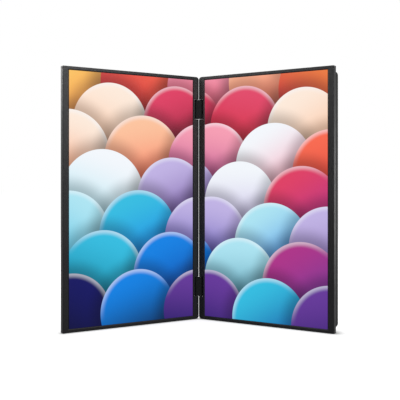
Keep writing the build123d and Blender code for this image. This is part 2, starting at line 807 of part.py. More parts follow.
# Buttons, held behind the top wall by a flange
for name, place in button_places.items():
    with BuildPart() as button:
        level_block(right, around(place, button_lengths[name]), around(socket_line, button_width),
                    (hump_top_inside, hump_up[1] + button_proud), corner=button_width / 2 - press_gap)
        level_block(right, around(place, button_lengths[name] + 2 * button_flange_lip),
                    around(socket_line, button_width + 2 * button_flange_lip),
                    (hump_top_inside - button_flange, hump_top_inside))
        level_block(right, around(place, button_stem), around(socket_line, button_stem),
                    (hump_top_inside - button_flange - button_stem_length, hump_top_inside - button_flange))
    keep(button, name)

# Speakers against the back of the housing, with their leads
for end in (upper, lower):
    speaker_middle = (span_middle(speaker_across), span_middle(speaker_up[end]))
    speaker_front = hump_cavity_back - speaker_body
    with BuildPart() as speaker:
        slab(right, speaker_across, speaker_up[end], (speaker_front, hump_cavity_back), corner=speaker_corner)
        level_bar(right, *speaker_middle, speaker_cone_radius,
                  (hump_cavity_back - speaker_cone_depth, hump_cavity_back), mode=Mode.SUBTRACT)
        level_bar(right, *speaker_middle, speaker_magnet_radius,
                  (speaker_front - speaker_magnet_depth, speaker_front))
    keep(speaker, f"{end_name[end]}_speaker")
    lead_deep = board_front - lead_radius
    lead_across = board_across[1] - ribbon_landing
    lead_up = span_middle(speaker_up[end])
    with BuildPart() as speaker_lead:
        round_cable(
            [
                panel_point(right, speaker_across[0] + speaker_corner, speaker_front - lead_radius, lead_up),
                panel_point(right, speaker_across[0] - lead_bend, speaker_front - lead_radius, lead_up),
                panel_point(right, board_across[1] + lead_bend, lead_deep, lead_up),
                panel_point(right, lead_across, lead_deep, lead_up),
                panel_point(right, lead_across, lead_deep, max(lead_up, board_up[0]) + ribbon_landing),
            ],
            lead_radius,
            lead_bend,
        )
    keep(speaker_lead, f"{end_name[end]}_speaker_lead")

# Ribbon from the main board to the right driver board
with BuildPart() as panel_ribbon:
    ribbon_low = driver_back + ribbon_thickness / 2
    ribbon_high = board_front - ribbon_thickness / 2
    with BuildSketch(edge_plane(right, ribbon_across + ribbon_width / 2)) as ribbon_strip:
        with BuildLine() as ribbon_route:
            Polyline(
                (right_driver_up[1] - ribbon_landing, ribbon_low),
                (right_driver_up[1] + ribbon_landing, ribbon_low),
                (board_up[0] - ribbon_landing, ribbon_high),
                (board_up[0] + ribbon_landing, ribbon_high),
            )
        trace(line_width=ribbon_thickness)
    extrude(amount=ribbon_width)
keep(panel_ribbon, "panel_ribbon")

# Kickstand plate, round about its pivot, with cuts for its feet
foot_across = (kick_free_across - foot_width, kick_free_across)
foot_heights = [
    (kick_up[0] + foot_from_end, kick_up[0] + foot_from_end + foot_length),
    (kick_up[1] - foot_from_end - foot_length, kick_up[1] - foot_from_end),
]
kick_deep = (hump_back - kick_thickness, hump_back)
with BuildPart() as kickstand:
    upright_bar(right, kick_pivot_across, kick_pivot_deep, kick_thickness / 2, kick_up)
    slab(right, (kick_pivot_across, kick_free_across), kick_up, kick_deep)
    free_edges = kickstand.edges().filter_by(upright_axis(right, 0, 1))
    fillet(free_edges.group_by(upright_axis(right, 1, 0))[-1], kick_corner)
    for heights in foot_heights:
        slab(right, foot_across, heights, kick_deep, mode=Mode.SUBTRACT)
    for pin_up in ((kick_up[0], kick_up[0] + kick_pin_hold), (kick_up[1] - kick_pin_hold, kick_up[1])):
        upright_bar(right, kick_pivot_across, kick_pivot_deep, kick_pin_radius + press_gap, pin_up,
                    mode=Mode.SUBTRACT)
keep(kickstand, "kickstand")
with BuildPart() as kickstand_pins:
    for pin_up in ((kick_up[0] - kick_gap - kick_pin_reach + part_gap, kick_up[0] + kick_pin_hold),
                   (kick_up[1] - kick_pin_hold, kick_up[1] + kick_gap + kick_pin_reach - part_gap)):
        upright_bar(right, kick_pivot_across, kick_pivot_deep, kick_pin_radius, pin_up)
keep(kickstand_pins, "kickstand_pins")
with BuildPart() as kickstand_feet:
    for heights in foot_heights:
        slab(right, foot_across, heights, kick_deep)
keep(kickstand_feet, "kickstand_feet")
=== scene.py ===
"""Looks of the dual portable monitor: finishes, screen picture, signs, contacts, light and camera."""
import json
from math import cos, pi, radians, sin

import bmesh
import bpy
from mathutils import Matrix, Vector


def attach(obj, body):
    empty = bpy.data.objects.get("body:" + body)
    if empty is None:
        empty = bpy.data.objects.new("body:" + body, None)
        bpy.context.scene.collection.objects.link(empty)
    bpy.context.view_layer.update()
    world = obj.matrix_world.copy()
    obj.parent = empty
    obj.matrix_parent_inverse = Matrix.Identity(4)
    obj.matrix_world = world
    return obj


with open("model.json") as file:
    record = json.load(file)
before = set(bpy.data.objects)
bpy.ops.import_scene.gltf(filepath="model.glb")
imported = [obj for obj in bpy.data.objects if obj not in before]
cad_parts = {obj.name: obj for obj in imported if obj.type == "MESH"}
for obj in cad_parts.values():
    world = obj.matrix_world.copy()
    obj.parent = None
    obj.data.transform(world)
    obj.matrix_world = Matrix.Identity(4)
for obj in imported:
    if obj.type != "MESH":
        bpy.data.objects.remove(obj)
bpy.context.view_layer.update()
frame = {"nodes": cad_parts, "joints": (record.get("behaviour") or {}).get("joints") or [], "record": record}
nodes = frame["nodes"]

# Places, in metres, in the terms of the CAD source
MM = 0.001
RIGHT, LEFT = 1, -1
UPWARD = (0.0, 0.0, 1.0)
FOLD = {RIGHT: radians(33.1), LEFT: radians(32.3)}
HINGE = {joint["name"]: Vector(joint["pos_m"]) for joint in frame["joints"] if "pos_m" in joint}
AXIS = {RIGHT: HINGE["right_hinge"], LEFT: HINGE["left_hinge"]}
# Along each panel to the viewer's right, and to its back
ALONG = {side: Vector((cos(lean), -side * sin(lean), 0.0)) for side, lean in FOLD.items()}
BACK = {side: Vector((side * sin(lean), cos(lean), 0.0)) for side, lean in FOLD.items()}
SCREEN_ACROSS = (7.7 * MM, 201.3 * MM)
SCREEN_UP = (4.8 * MM, 349.0 * MM)
SCREEN_WIDTH = SCREEN_ACROSS[1] - SCREEN_ACROSS[0]
# The lit area ends a little inside the bezel's opening
LIT_ACROSS = (7.7 * MM, 200.45 * MM)
LIT_UP = (5.1 * MM, 348.7 * MM)
GLASS_FRONT = -2.5 * MM
GLASS_SKIN = 0.05 * MM
PANEL_BACK = 3.65 * MM
BOARD_BACK = 5.57 * MM
DRIVER_BACK = 1.9 * MM
SOCKET_LINE = 7.2 * MM
VIDEO_LINE = 7.17 * MM
SOCKET_TOP = 347.7 * MM
BUTTON_TOP = 348.4 * MM
BUTTON_ACROSS = {"minus": 152.2 * MM, "plus": 163.2 * MM, "power": 184.2 * MM}
SOCKET_ACROSS = {"charge": 112.2 * MM, "data": 130.2 * MM, "video": 91.2 * MM}


def panel_frame(side, across, deep, up):
    """Axes at a place in a panel: x to the viewer's right along it, y to its back, z up."""
    place = Vector((AXIS[side].x, AXIS[side].y, 0)) + side * ALONG[side] * across + BACK[side] * deep
    place.z = up
    axes = Matrix((ALONG[side], BACK[side], Vector(UPWARD))).transposed().to_4x4()
    return Matrix.Translation(place) @ axes


# ---------------------------------------------------------------- materials
def srgb(red, green, blue):
    """A linear colour from the usual 0 to 255 numbers."""
    shares = [value / 255 for value in (red, green, blue)]
    linear = [c / 12.92 if c <= 10 / 255 else ((c + 0.055) / 1.055) ** 2.4 for c in shares]
    return (*linear, 1.0)


BLACK = (0.0, 0.0, 0.0, 1.0)
FULL_WHITE = (1, 1, 1, 1)
# Noise lies mostly between these two values
NOISE_SPAN = (0.3, 0.7)


class Graph:
    """A material's or group's nodes, added in short lines."""

    def __init__(self, tree):
        self.tree = tree

    def add(self, kind, settings=None, **inputs):
        """Adds a node and fills its inputs, given by name or by number as i0, i1 and so on."""
        node = self.tree.nodes.new(kind)
        for name, value in (settings or {}).items():
            setattr(node, name, value)
        for name, value in inputs.items():
            self.put(node.inputs[int(name[1:]) if name[0] == "i" and name[1:].isdigit() else name], value)
        return node

    def put(self, socket, value):
        """Links a socket to another one, or sets its value."""
        if isinstance(value, bpy.types.NodeSocket):
            self.tree.links.new(value, socket)
        else:
            socket.default_value = value

    def math(self, operation, first, second=0.0):
        return self.add("ShaderNodeMath", {"operation": operation}, i0=first, i1=second).outputs[0]

    def dot(self, vector, direction):
        settings = {"operation": "DOT_PRODUCT"}
        return self.add("ShaderNodeVectorMath", settings, i0=vector, i1=direction).outputs["Value"]

    def noise(self, vector, scale, detail=2.0, rough=0.5):
        inputs = {"Vector": vector, "Scale": scale, "Detail": detail, "Roughness": rough}
        return self.add("ShaderNodeTexNoise", **inputs).outputs["Fac"]

    def stretched(self, vector, scale):
        return self.add("ShaderNodeMapping", Vector=vector, Scale=scale).outputs["Vector"]

    def ease(self, value, low, high, out_low=0.0, out_high=1.0):
        """Goes smoothly from out_low to out_high while the value goes from low to high."""
        names = {"Value": value, "From Min": low, "From Max": high, "To Min": out_low, "To Max": out_high}
        return self.add("ShaderNodeMapRange", {"interpolation_type": "SMOOTHSTEP"}, **names).outputs["Result"]

    def blend(self, share, first, second):
        return self.add("ShaderNodeMix", {"data_type": "RGBA"}, i0=share, i6=first, i7=second).outputs[2]

    def occlusion(self, samples, reach, **inputs):
        """How open the surroundings of a shaded point are, within a reach."""
        node = self.add("ShaderNodeAmbientOcclusion", {"samples": samples}, Distance=reach, **inputs)
        return node.outputs["AO"]


def finish_of(name, **sockets):
    """A new material with its shader's plain sockets set: (material, graph, shader, object coordinates)."""
    material = bpy.data.materials.new(name)
    material.use_nodes = True
    graph = Graph(material.node_tree)
    shader = material.node_tree.nodes["Principled BSDF"]
    for socket, value in sockets.items():
        shader.inputs[socket.replace("_", " ")].default_value = value
    return material, graph, shader, graph.add("ShaderNodeTexCoord").outputs["Object"]


def depth_in(graph, place, side):
    """How far a shaded point lies behind a panel's middle plane."""
    return graph.math("SUBTRACT", graph.dot(place, tuple(BACK[side])), AXIS[side].dot(BACK[side]))


# Noises of a grained surface: detail and roughness, after the scale where that is the same for all
FINE_NOISE, FINE_SPAN, FINE_SHARE = (3.0, 0.6), (0.32, 0.72), 0.8
BROAD_NOISE, BROAD_TINT, BROAD_SHARE = (38.0, 4.0, 0.55), 0.3, 0.2
RUB_NOISE, RUB_SPAN = (160.0, 4.0, 0.7), (0.38, 0.72)
EDGE_RADIUS, EDGE_SAMPLES, EDGE_SPAN = 0.7 * MM, 4, (0.97, 0.72)
GRAIN_HEIGHT = 0.1 * MM
STEP_SOFTNESS = 0.1 * MM


def grained(name, dark, light, gloss, grain, relief, wear_and_edge_highlight=None, stretch=(1, 1, 1), behind=None, **sockets):
    """Moulded, painted or ground surface: mottled colour, uneven gloss, fine grain and, if named, edges
    lighter from wear and from a painted highlight.

    What lies behind a given depth of the right panel may be darker and duller:
    (depth, share of colour kept, roughness added).
    """
    material, graph, shader, place = finish_of(name, **sockets)
    fine = graph.noise(graph.stretched(place, stretch), grain, *FINE_NOISE)
    broad = graph.noise(place, *BROAD_NOISE)
    colour = graph.blend(graph.ease(fine, *FINE_SPAN), dark, light)
    colour = graph.blend(graph.ease(broad, *NOISE_SPAN, 0.0, BROAD_TINT), colour, light)
    # Edges found by the bevel turn lighter in noisy patches: partly wear, partly a painted highlight along
    # the edges.
    if wear_and_edge_highlight:
        edge = graph.add("ShaderNodeBevel", {"samples": EDGE_SAMPLES}, Radius=EDGE_RADIUS).outputs["Normal"]
        flat = graph.add("ShaderNodeNewGeometry").outputs["Normal"]
        rubbed_and_highlit_edge = graph.ease(graph.dot(edge, flat), *EDGE_SPAN)
        patches = graph.ease(graph.noise(place, *RUB_NOISE), *RUB_SPAN)
        colour = graph.blend(graph.math("MULTIPLY", rubbed_and_highlit_edge, patches), colour, wear_and_edge_highlight)
    fine_part = graph.math("MULTIPLY", fine, FINE_SHARE)
    uneven = graph.math("ADD", fine_part, graph.math("MULTIPLY", broad, BROAD_SHARE))
    rough = graph.ease(uneven, *NOISE_SPAN, *gloss)
    if behind:
        depth, kept, dull = behind
        mask = graph.ease(depth_in(graph, place, RIGHT), depth, depth + STEP_SOFTNESS)
        colour = graph.blend(graph.math("MULTIPLY", mask, 1 - kept), colour, BLACK)
        rough = graph.math("ADD", rough, graph.math("MULTIPLY", mask, dull))
    graph.put(shader.inputs["Base Color"], colour)
    graph.put(shader.inputs["Roughness"], rough)
    bump = graph.add("ShaderNodeBump", Strength=relief, Distance=GRAIN_HEIGHT, Height=fine)
    graph.put(shader.inputs["Normal"], bump.outputs["Normal"])
    return material


# Finish of each of the record's slots: dark and light colour, gloss span, grain scale, relief and extras
made = {
    "bezel_black": grained(
        "bezel_plastic", (0.0055, 0.0055, 0.006, 1), (0.0095, 0.0095, 0.0105, 1), (0.38, 0.48), 2600.0, 0.20,
        wear_and_edge_highlight=(0.028, 0.028, 0.030, 1), Specular_IOR_Level=0.30),
    "case_black": grained(
        "case_plastic", (0.006, 0.006, 0.007, 1), (0.011, 0.011, 0.012, 1), (0.42, 0.54), 1500.0, 0.45,
        wear_and_edge_highlight=(0.036, 0.036, 0.039, 1), behind=(PANEL_BACK, 0.5, 0.26), Specular_IOR_Level=0.32),
    "hinge_black": grained(
        "hinge_paint", (0.0035, 0.0035, 0.004, 1), (0.0065, 0.0065, 0.007, 1), (0.46, 0.58), 1800.0, 0.12,
        wear_and_edge_highlight=(0.018, 0.018, 0.019, 1), Specular_IOR_Level=0.17),
    "stand_black": grained(
        "stand_anodised", (0.014, 0.014, 0.0155, 1), (0.024, 0.024, 0.026, 1), (0.34, 0.46), 1900.0, 0.22,
        wear_and_edge_highlight=(0.14, 0.14, 0.145, 1), stretch=(1, 1, 0.04), Metallic=0.35, Specular_IOR_Level=0.36),
    "button_black": grained(
        "button_plastic", (0.008, 0.008, 0.009, 1), (0.014, 0.014, 0.015, 1), (0.26, 0.36), 2200.0, 0.10,
        wear_and_edge_highlight=(0.04, 0.04, 0.043, 1), Specular_IOR_Level=0.45),
    "optical_film": grained(
        "film_stack", (0.70, 0.71, 0.73, 1), (0.80, 0.81, 0.83, 1), (0.30, 0.40), 3000.0, 0.08,
        Specular_IOR_Level=0.5),
    "clear_acrylic": grained(
        "guide_acrylic", (0.74, 0.80, 0.82, 1), (0.82, 0.88, 0.90, 1), (0.04, 0.10), 900.0, 0.05,
        Transmission_Weight=0.85, IOR=1.49),
    "sheet_steel": grained(
        "plated_sheet", (0.42, 0.43, 0.44, 1), (0.56, 0.57, 0.58, 1), (0.30, 0.44), 700.0, 0.12,
        wear_and_edge_highlight=(0.70, 0.70, 0.71, 1), stretch=(1, 1, 0.08), Metallic=1.0),
    "steel": grained(
        "ground_steel", (0.38, 0.39, 0.40, 1), (0.52, 0.53, 0.54, 1), (0.20, 0.32), 2400.0, 0.15,
        wear_and_edge_highlight=(0.66, 0.66, 0.67, 1), stretch=(1, 1, 3.0), Metallic=1.0),
    "black_rubber": grained(
        "soft_rubber", (0.008, 0.008, 0.008, 1), (0.014, 0.014, 0.014, 1), (0.62, 0.78), 2000.0, 0.35,
        Specular_IOR_Level=0.25),
    "plated_shell": grained(
        "nickel_shell", (0.55, 0.54, 0.52, 1), (0.68, 0.67, 0.65, 1), (0.16, 0.26), 1600.0, 0.06,
        wear_and_edge_highlight=(0.78, 0.77, 0.75, 1), Metallic=1.0),
    "ribbon_white": grained(
        "ribbon_film", (0.66, 0.67, 0.66, 1), (0.76, 0.77, 0.75, 1), (0.34, 0.46), 1200.0, 0.10),
    "dark_plastic": grained(
        "moulded_plastic", (0.011, 0.011, 0.012, 1), (0.022, 0.022, 0.023, 1), (0.46, 0.60), 1300.0, 0.30,
        Specular_IOR_Level=0.3),
}
gold = grained(
    "contact_gold", (0.62, 0.42, 0.14, 1), (0.78, 0.56, 0.22, 1), (0.18, 0.28), 2600.0, 0.05, Metallic=1.0)
print_grey = grained(
    "printed_sign", (0.40, 0.40, 0.41, 1), (0.52, 0.52, 0.53, 1), (0.50, 0.62), 3000.0, 0.10)

STRIPE_SPAN = (0.2, 0.5)
RUN_SCALE, RUN_TURNS, RUN_SHARE, RUN_RELIEF, RUN_HEIGHT = 240.0, 26.0, 0.55, 0.3, 0.05 * MM
MASK_NOISE, MASK_GLOSS = (300.0, 3.0), (0.30, 0.46)
CHIP_SPAN = (0.04 * MM, 0.10 * MM)
MASK_DARK, MASK_LIGHT = (0.006, 0.060, 0.026, 1), (0.010, 0.084, 0.036, 1)
COPPER_UNDER_MASK, CHIP_BLACK = (0.030, 0.150, 0.060, 1), (0.016, 0.016, 0.017, 1)


def circuit(name, side, face):
    """Green board with copper runs under its mask; what stands behind the board's face is a dark chip."""
    material, graph, shader, place = finish_of(name, Specular_IOR_Level=0.45)
    deep = depth_in(graph, place, side)
    along, up = graph.dot(place, tuple(ALONG[side])), graph.dot(place, UPWARD)
    board = graph.add("ShaderNodeCombineXYZ", X=along, Y=up).outputs[0]
    cells = graph.add("ShaderNodeTexVoronoi", {"distance": "MANHATTAN"}, Vector=board, Scale=RUN_SCALE)
    waves = graph.math("SINE", graph.math("MULTIPLY", cells.outputs["Distance"], RUN_TURNS))
    runs = graph.ease(waves, *STRIPE_SPAN)
    mottle = graph.noise(place, *MASK_NOISE)
    mask = graph.blend(graph.ease(mottle, *NOISE_SPAN), MASK_DARK, MASK_LIGHT)
    mask = graph.blend(graph.math("MULTIPLY", runs, RUN_SHARE), mask, COPPER_UNDER_MASK)
    chip = graph.ease(deep, face + CHIP_SPAN[0], face + CHIP_SPAN[1])
    graph.put(shader.inputs["Base Color"], graph.blend(chip, mask, CHIP_BLACK))
    graph.put(shader.inputs["Roughness"], graph.ease(mottle, *NOISE_SPAN, *MASK_GLOSS))
    relief = graph.add("ShaderNodeBump", Strength=RUN_RELIEF, Distance=RUN_HEIGHT, Height=runs)
    graph.put(shader.inputs["Normal"], relief.outputs["Normal"])
    return material


LED_PITCH, STRIP_NOISE, STRIP_GLOSS = 12.4 * MM, (900.0, 3.0), (0.36, 0.50)
STRIP_DARK, STRIP_LIGHT, PHOSPHOR = (0.62, 0.62, 0.60, 1), (0.72, 0.72, 0.70, 1), (0.80, 0.62, 0.16, 1)


def light_strip(name):
    """White strip board with warm phosphor windows."""
    material, graph, shader, place = finish_of(name, Specular_IOR_Level=0.4)
    wave = graph.math("SINE", graph.math("MULTIPLY", graph.dot(place, UPWARD), 2 * pi / LED_PITCH))
    speck = graph.noise(place, *STRIP_NOISE)
    strip = graph.blend(graph.ease(speck, *NOISE_SPAN), STRIP_DARK, STRIP_LIGHT)
    graph.put(shader.inputs["Base Color"], graph.blend(graph.ease(wave, *STRIPE_SPAN), strip, PHOSPHOR))
    graph.put(shader.inputs["Roughness"], graph.ease(speck, *NOISE_SPAN, *STRIP_GLOSS))
    return material


# ---------------------------------------------------------------- screen picture
# A generic picture over both screens: soft-shaded overlapping discs. Places count in screen widths, with x
# from -1 at the left to 1 at the right and y from 0 at the base to 1.78 at the top.
YELLOW, ORANGE, PEACH = srgb(252, 205, 95), srgb(247, 140, 62), srgb(255, 198, 160)
CREAM, CORAL, RED = srgb(255, 236, 220), srgb(252, 106, 78), srgb(206, 28, 44)
ROSE, PINK, WINE = srgb(226, 62, 100), srgb(250, 160, 182), srgb(122, 14, 40)
MAGENTA, PURPLE, LAVENDER = srgb(176, 52, 138), srgb(104, 58, 156), srgb(196, 182, 232)
INDIGO, WHITE, ICE = srgb(58, 44, 176), srgb(246, 250, 255), srgb(176, 232, 246)
CYAN, TEAL, BLUE = srgb(52, 192, 228), srgb(0, 128, 156), srgb(10, 132, 232)
DEEP_BLUE, NAVY, NIGHT = srgb(10, 62, 160), srgb(16, 18, 98), srgb(6, 8, 40)
# Middle x and y, radius, the two colours of the sweep, and its direction in degrees
DISCS = (
    (-0.90, 1.68, 0.36, ORANGE, YELLOW, 120),
    (-0.40, 1.72, 0.36, RED, CORAL, 60),
    (0.10, 1.70, 0.32, ROSE, PINK, 90),
    (0.55, 1.74, 0.34, CORAL, PEACH, 100),
    (0.98, 1.66, 0.36, RED, ORANGE, 60),
    (-0.68, 1.42, 0.29, PEACH, CREAM, 70),
    (-0.14, 1.44, 0.28, WINE, ROSE, 110),
    (0.34, 1.42, 0.29, RED, ROSE, 80),
    (0.82, 1.38, 0.29, PEACH, CREAM, 120),
    (-1.00, 1.20, 0.31, ORANGE, CREAM, 70),
    (-0.42, 1.18, 0.31, CORAL, PEACH, 100),
    (0.08, 1.16, 0.29, MAGENTA, PINK, 80),
    (0.58, 1.12, 0.31, PINK, WHITE, 120),
    (1.02, 1.08, 0.29, RED, CORAL, 100),
    (-0.74, 0.92, 0.32, ICE, WHITE, 70),
    (-0.18, 0.90, 0.29, PURPLE, LAVENDER, 110),
    (0.30, 0.86, 0.30, LAVENDER, WHITE, 90),
    (0.80, 0.82, 0.30, MAGENTA, ROSE, 120),
    (-1.00, 0.64, 0.31, CYAN, ICE, 60),
    (-0.46, 0.64, 0.31, BLUE, CYAN, 110),
    (0.06, 0.60, 0.30, INDIGO, LAVENDER, 80),
    (0.56, 0.56, 0.30, BLUE, ICE, 120),
    (1.00, 0.54, 0.30, PURPLE, LAVENDER, 100),
    (-0.74, 0.36, 0.31, TEAL, CYAN, 70),
    (-0.20, 0.34, 0.30, DEEP_BLUE, BLUE, 110),
    (0.30, 0.30, 0.30, TEAL, ICE, 90),
    (0.80, 0.28, 0.31, PURPLE, MAGENTA, 120),
    (-0.98, 0.08, 0.30, NIGHT, NAVY, 60),
    (-0.46, 0.08, 0.30, NIGHT, BLUE, 110),
    (0.04, 0.06, 0.29, NAVY, PURPLE, 80),
    (0.54, 0.02, 0.30, DEEP_BLUE, CYAN, 120),
    (1.02, 0.00, 0.30, NAVY, PURPLE, 100),
)
# Spans of a disc's shadow, edge, sweep and bright rim, in radii, and how strong shadow and rim are
SHADOW_SPAN, SHADOW_SHARE = (1.42, 0.98), 0.42
EDGE_OF_DISC = (1.004, 0.996)
SWEEP_SPAN = (-1.0, 0.95)
RIM_SPAN, RIM_SWEEP, RIM_SHARE = (0.86, 1.0), (0.1, 0.9), 0.45
DISC_INPUTS = {
    "X": "Float", "Y": "Float", "Under": "Color", "Middle X": "Float", "Middle Y": "Float", "Radius": "Float",
    "Low": "Color", "High": "Color", "Turn X": "Float", "Turn Y": "Float",
}


def disc_group():
    """One disc laid over a picture: a soft shadow round it, a sweep of two colours and a bright rim."""
    tree = bpy.data.node_groups.new("picture_disc", "ShaderNodeTree")
    for name, kind in DISC_INPUTS.items():
        tree.interface.new_socket(name, in_out="INPUT", socket_type="NodeSocket" + kind)
    tree.interface.new_socket("Over", in_out="OUTPUT", socket_type="NodeSocketColor")
    graph = Graph(tree)
    given = graph.add("NodeGroupInput").outputs
    x = graph.math("SUBTRACT", given["X"], given["Middle X"])
    y = graph.math("SUBTRACT", given["Y"], given["Middle Y"])
    squares = graph.math("ADD", graph.math("MULTIPLY", x, x), graph.math("MULTIPLY", y, y))
    reach = graph.math("DIVIDE", graph.math("SQRT", squares), given["Radius"])
    sweep_x, sweep_y = graph.math("MULTIPLY", x, given["Turn X"]), graph.math("MULTIPLY", y, given["Turn Y"])
    sweep = graph.math("DIVIDE", graph.math("ADD", sweep_x, sweep_y), given["Radius"])
    shade = graph.math("MULTIPLY", graph.ease(reach, *SHADOW_SPAN), SHADOW_SHARE)
    under = graph.blend(shade, given["Under"], BLACK)
    body = graph.blend(graph.ease(sweep, *SWEEP_SPAN), given["Low"], given["High"])
    rim = graph.math("MULTIPLY", graph.ease(reach, *RIM_SPAN), graph.ease(sweep, *RIM_SWEEP))
    body = graph.blend(graph.math("MULTIPLY", rim, RIM_SHARE), body, WHITE)
    over = graph.blend(graph.ease(reach, *EDGE_OF_DISC), under, body)
    graph.put(graph.add("NodeGroupOutput").inputs["Over"], over)
    return tree


DISC = disc_group()
# Heights over which the ground between the discs turns warm, upward, and deep blue, downward
WARM_SPAN, DEEP_SPAN = (0.9, 1.7), (1.0, 0.1)
DARK_GLASS, SCREEN_GLOW = (0.003, 0.003, 0.004, 1), 0.96
ETCH_NOISE, ETCH_GLOSS = (4200.0, 2.0), (0.30, 0.40)


def lit_glass(name, side):
    """Screen glass: black when seen from behind or at its border, lit with the picture inside the window."""
    material, graph, shader, place = finish_of(name, Base_Color=DARK_GLASS, Specular_IOR_Level=0.16)
    across = graph.math("SUBTRACT", graph.dot(place, tuple(ALONG[side])), AXIS[side].dot(ALONG[side]))
    across = graph.math("MULTIPLY", across, side)
    deep, up = depth_in(graph, place, side), graph.dot(place, UPWARD)
    x = graph.math("MULTIPLY", graph.math("SUBTRACT", across, SCREEN_ACROSS[0]), side / SCREEN_WIDTH)
    y = graph.math("DIVIDE", graph.math("SUBTRACT", up, SCREEN_UP[0]), SCREEN_WIDTH)
    picture = graph.blend(graph.ease(y, *WARM_SPAN), LAVENDER, CORAL)
    picture = graph.blend(graph.ease(y, *DEEP_SPAN), picture, DEEP_BLUE)
    for middle_x, middle_y, radius, low, high, turn in DISCS:
        turned = (cos(radians(turn)), sin(radians(turn)))
        values = (x, y, picture, middle_x, middle_y, radius, low, high, *turned)
        disc = graph.add("ShaderNodeGroup", {"node_tree": DISC}, **dict(zip(DISC_INPUTS, values)))
        picture = disc.outputs["Over"]
    shown = graph.math("LESS_THAN", deep, GLASS_FRONT + GLASS_SKIN)
    for value, (low, high) in ((across, LIT_ACROSS), (up, LIT_UP)):
        shown = graph.math("MULTIPLY", shown, graph.math("GREATER_THAN", value, low))
        shown = graph.math("MULTIPLY", shown, graph.math("LESS_THAN", value, high))
    graph.put(shader.inputs["Emission Color"], graph.blend(shown, BLACK, picture))
    shader.inputs["Emission Strength"].default_value = SCREEN_GLOW
    etched = graph.noise(place, *ETCH_NOISE)
    graph.put(shader.inputs["Roughness"], graph.ease(etched, *NOISE_SPAN, *ETCH_GLOSS))
    return material


# ---------------------------------------------------------------- finishes on the CAD nodes
for row in frame["record"]["subparts"]:
    node, slot = row["node"], row["material_slot"]
    side = LEFT if "left" in node else RIGHT
    if slot == "display_glass":
        look = lit_glass(f"{node}_lit", side)
    elif node.endswith("led_bar"):
        look = light_strip(f"{node}_strip")
    elif slot == "circuit_board":
        look = circuit(f"{node}_mask", side, BOARD_BACK if node == "main_board" else DRIVER_BACK)
    else:
        look = made[slot]
    nodes[node].data.materials.clear()
    nodes[node].data.materials.append(look)


# ---------------------------------------------------------------- small pieces
def prism(form, outline, low, high, place):
    """Adds an upright prism over a flat outline."""
    rings = [[form.verts.new(place @ Vector((x, y, z))) for x, y in outline] for z in (low, high)]
    form.faces.new(list(reversed(rings[0])))
    form.faces.new(rings[1])
    for i in range(len(outline)):
        j = (i + 1) % len(outline)
        form.faces.new((rings[0][i], rings[0][j], rings[1][j], rings[1][i]))


def pill(length, width, steps=8):
    """Outline of a bar with round ends, along x about the middle."""
    half = (length - width) / 2
    ends = ((half, -pi / 2), (-half, pi / 2))
    return [(middle + width / 2 * cos(start + pi * i / steps), width / 2 * sin(start + pi * i / steps))
            for middle, start in ends for i in range(steps + 1)]


def piece(name, form, body, material):
    """Makes a finished mesh ride on a body."""
    bmesh.ops.recalc_face_normals(form, faces=form.faces)
    mesh = bpy.data.meshes.new(name)
    form.to_mesh(mesh)
    form.free()
    mesh.materials.append(material)
    thing = bpy.data.objects.new(name, mesh)
    bpy.context.scene.collection.objects.link(thing)
    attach(thing, body)


# Signs printed on the three buttons: a bar, a cross, and a ring open round a bar
SIGN_WIDTH, SIGN_SIZE, SIGN_RAISE = 0.26 * MM, 1.7 * MM, 0.03 * MM
RING_RADIUS, RING_OPEN, RING_STEPS = 0.78 * MM, radians(38), 40
RING_BAR_LENGTH, RING_BAR_BACK = 0.95 * MM, 0.62 * MM


def ring_outline():
    """Outline of an open ring whose gap faces away from the viewer."""
    start, turn = pi / 2 + RING_OPEN, 2 * pi - 2 * RING_OPEN
    angles = [start + turn * i / RING_STEPS for i in range(RING_STEPS + 1)]
    outer, inner = RING_RADIUS + SIGN_WIDTH / 2, RING_RADIUS - SIGN_WIDTH / 2
    return ([(outer * cos(a), outer * sin(a)) for a in angles]
            + [(inner * cos(a), inner * sin(a)) for a in reversed(angles)])


def cross_outline(size, width):
    """Outline of a plus sign."""
    a, b = size / 2, width / 2
    return [(b, b), (b, a), (-b, a), (-b, b), (-a, b), (-a, -b),
            (-b, -b), (-b, -a), (b, -a), (b, -b), (a, -b), (a, b)]


ring_bar = [(y, x + RING_BAR_BACK) for x, y in pill(RING_BAR_LENGTH, SIGN_WIDTH)]
SIGNS = {
    "minus": [pill(SIGN_SIZE, SIGN_WIDTH)],
    "plus": [cross_outline(SIGN_SIZE, SIGN_WIDTH)],
    "power": [ring_outline(), ring_bar],
}
for key, outlines in SIGNS.items():
    form = bmesh.new()
    place = panel_frame(RIGHT, BUTTON_ACROSS[key], SOCKET_LINE, BUTTON_TOP)
    for outline in outlines:
        prism(form, outline, 0, SIGN_RAISE, place)
    piece(f"{key}_sign", form, f"{key}_key", print_grey)

